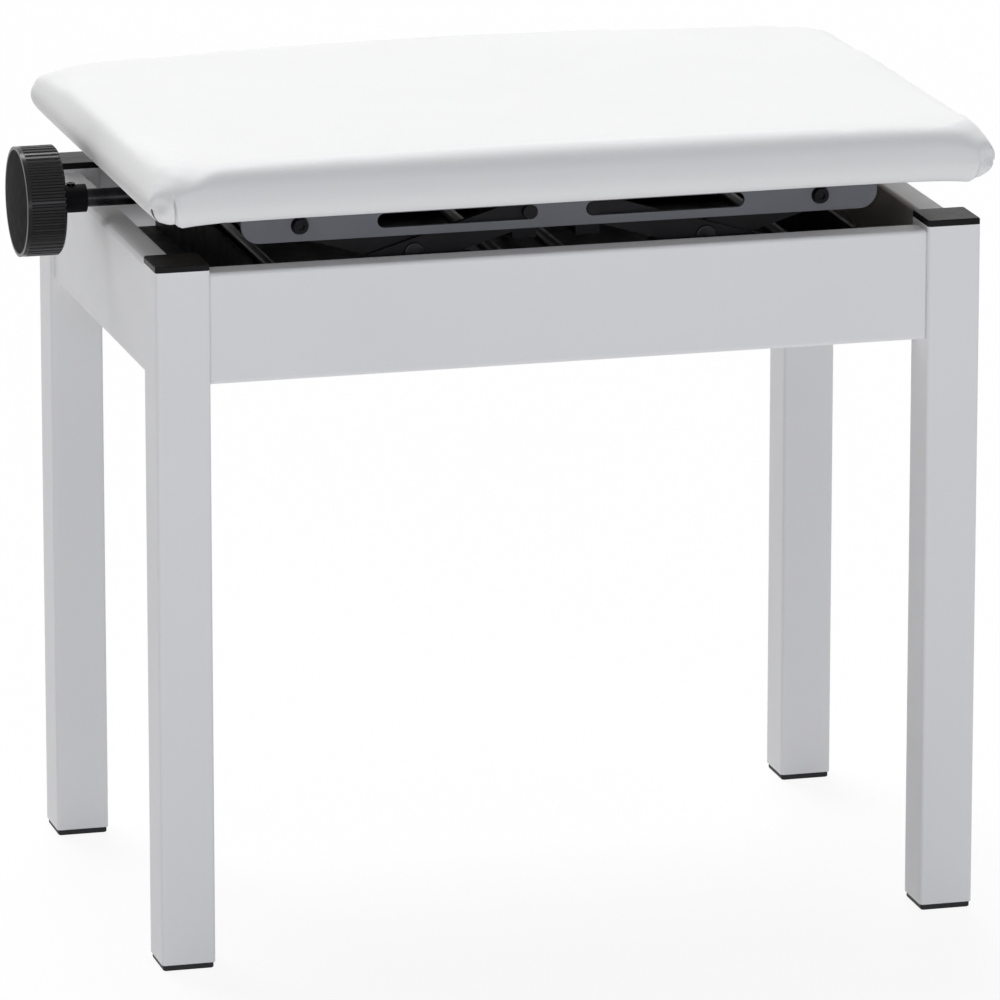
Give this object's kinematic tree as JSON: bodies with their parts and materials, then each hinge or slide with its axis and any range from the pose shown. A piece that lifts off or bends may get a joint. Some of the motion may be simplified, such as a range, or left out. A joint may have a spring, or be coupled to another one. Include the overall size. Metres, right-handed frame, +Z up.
{
  "type": "piano bench",
  "caption": "Height-adjustable piano bench: padded vinyl seat on a knob-driven scissor lift, carried by a painted steel frame of square tube legs and deep rails.",
  "frame": {"origin": "on the floor, under the middle of the overall outline with the knob counted in", "axes": "+X along the bench away from the knob, +Y from the front to the back, +Z up"},
  "size_m": [0.5342, 0.3314, 0.467],
  "materials": {
    "frame_paint": "satin white powder coat",
    "cap_plastic": "glossy black",
    "foot_plastic": "matt black",
    "lift_paint": "dark grey paint",
    "arm_paint": "black paint",
    "pin_steel": "blackened steel",
    "fastener_steel": "blackened steel",
    "screw_steel": "blackened steel, oiled",
    "nut_brass": "turned brass",
    "bush_nylon": "natural nylon",
    "knob_plastic": "ribbed black plastic",
    "seat_plywood": "plain plywood",
    "seat_foam": "upholstery foam",
    "seat_vinyl": "smooth white vinyl"
  },
  "bodies": {
    "base": {"leg_front_left": "frame_paint", "leg_front_right": "frame_paint", "leg_rear_left": "frame_paint", "leg_rear_right": "frame_paint", "leg_cap_front_left": "cap_plastic", "leg_cap_front_right": "cap_plastic", "leg_cap_rear_left": "cap_plastic", "leg_cap_rear_right": "cap_plastic", "foot_front_left": "foot_plastic", "foot_front_right": "foot_plastic", "foot_rear_left": "foot_plastic", "foot_rear_right": "foot_plastic", "front_rail": "frame_paint", "rear_rail": "frame_paint", "left_rail": "frame_paint", "right_rail": "frame_paint", "weld_beads": "frame_paint", "support_angle_left": "frame_paint", "support_angle_right": "frame_paint", "lower_front_plate": "arm_paint", "lower_rear_plate": "arm_paint", "lower_left_plate": "arm_paint", "lower_right_plate": "arm_paint", "mount_bolts": "fastener_steel", "lower_pivot_rod_left": "pin_steel", "lower_pivot_rod_right": "pin_steel", "lower_spacers": "pin_steel"},
    "left_lift_arms": {"left_lift_arm_front": "arm_paint", "left_lift_arm_rear": "arm_paint", "left_centre_rivets": "pin_steel"},
    "left_cross_arms": {"left_cross_arm_front": "arm_paint", "left_cross_arm_rear": "arm_paint", "left_slide_rod": "pin_steel"},
    "right_lift_arms": {"right_lift_arm_front": "arm_paint", "right_lift_arm_rear": "arm_paint", "right_centre_rivets": "pin_steel"},
    "right_cross_arms": {"right_cross_arm_front": "arm_paint", "right_cross_arm_rear": "arm_paint", "right_slide_rod": "pin_steel"},
    "left_nut_carrier": {"left_nut_bar": "arm_paint", "left_drive_nut": "nut_brass"},
    "right_nut_carrier": {"right_nut_bar": "arm_paint", "right_drive_nut": "nut_brass"},
    "seat": {"upper_front_plate": "lift_paint", "upper_rear_plate": "lift_paint", "upper_left_plate": "arm_paint", "upper_right_plate": "arm_paint", "bearing_bushes": "bush_nylon", "upper_pivot_bolts": "fastener_steel", "upper_spacers": "pin_steel", "upper_pivot_nuts": "fastener_steel", "seat_board": "seat_plywood", "seat_foam": "seat_foam", "seat_cover": "seat_vinyl", "wood_screws": "fastener_steel", "staples": "fastener_steel"},
    "drive": {"drive_screw": "screw_steel", "thrust_collars": "screw_steel", "knob": "knob_plastic", "knob_set_screw": "fastener_steel"}
  },
  "joints": [
    {"name": "seat_lift", "type": "hinge", "parent": "base", "child": "left_lift_arms", "pos_m": [-0.1326, 0, 0.381], "axis": [0, -1, 0], "range_deg": [0, 52.6]},
    {"name": "left_cross", "type": "hinge", "parent": "left_lift_arms", "child": "left_cross_arms", "pos_m": [-0.0661, 0, 0.401], "axis": [0, 1, 0], "range_deg": [0, 105.22]},
    {"name": "seat_level", "type": "hinge", "parent": "left_cross_arms", "child": "seat", "pos_m": [-0.1326, 0, 0.421], "axis": [0, -1, 0], "range_deg": [0, 52.61]},
    {"name": "right_lift", "type": "hinge", "parent": "base", "child": "right_lift_arms", "pos_m": [0.1704, 0, 0.381], "axis": [0, 1, 0], "range_deg": [0, 52.61]},
    {"name": "right_cross", "type": "hinge", "parent": "right_lift_arms", "child": "right_cross_arms", "pos_m": [0.1039, 0, 0.401], "axis": [0, -1, 0], "range_deg": [0, 105.22]},
    {"name": "left_nut_level", "type": "hinge", "parent": "left_lift_arms", "child": "left_nut_carrier", "pos_m": [0.0004, 0, 0.421], "axis": [0, 1, 0], "range_deg": [0, 52.61]},
    {"name": "right_nut_level", "type": "hinge", "parent": "right_lift_arms", "child": "right_nut_carrier", "pos_m": [0.0374, 0, 0.421], "axis": [0, -1, 0], "range_deg": [0, 52.61]},
    {"name": "knob_turn", "type": "hinge", "parent": "seat", "child": "drive", "pos_m": [0.0189, 0, 0.4144], "axis": [1, 0, 0], "range_deg": [0, 7562]}
  ],
  "couplings": [
    {"joint": "left_cross", "follows": "seat_lift", "ratio": 2},
    {"joint": "seat_level", "follows": "seat_lift", "ratio": 1},
    {"joint": "right_lift", "follows": "seat_lift", "ratio": 1},
    {"joint": "right_cross", "follows": "seat_lift", "ratio": 2},
    {"joint": "left_nut_level", "follows": "seat_lift", "ratio": 1},
    {"joint": "right_nut_level", "follows": "seat_lift", "ratio": 1},
    {"joint": "knob_turn", "follows": "seat_lift", "ratio": 143.73}
  ]
}
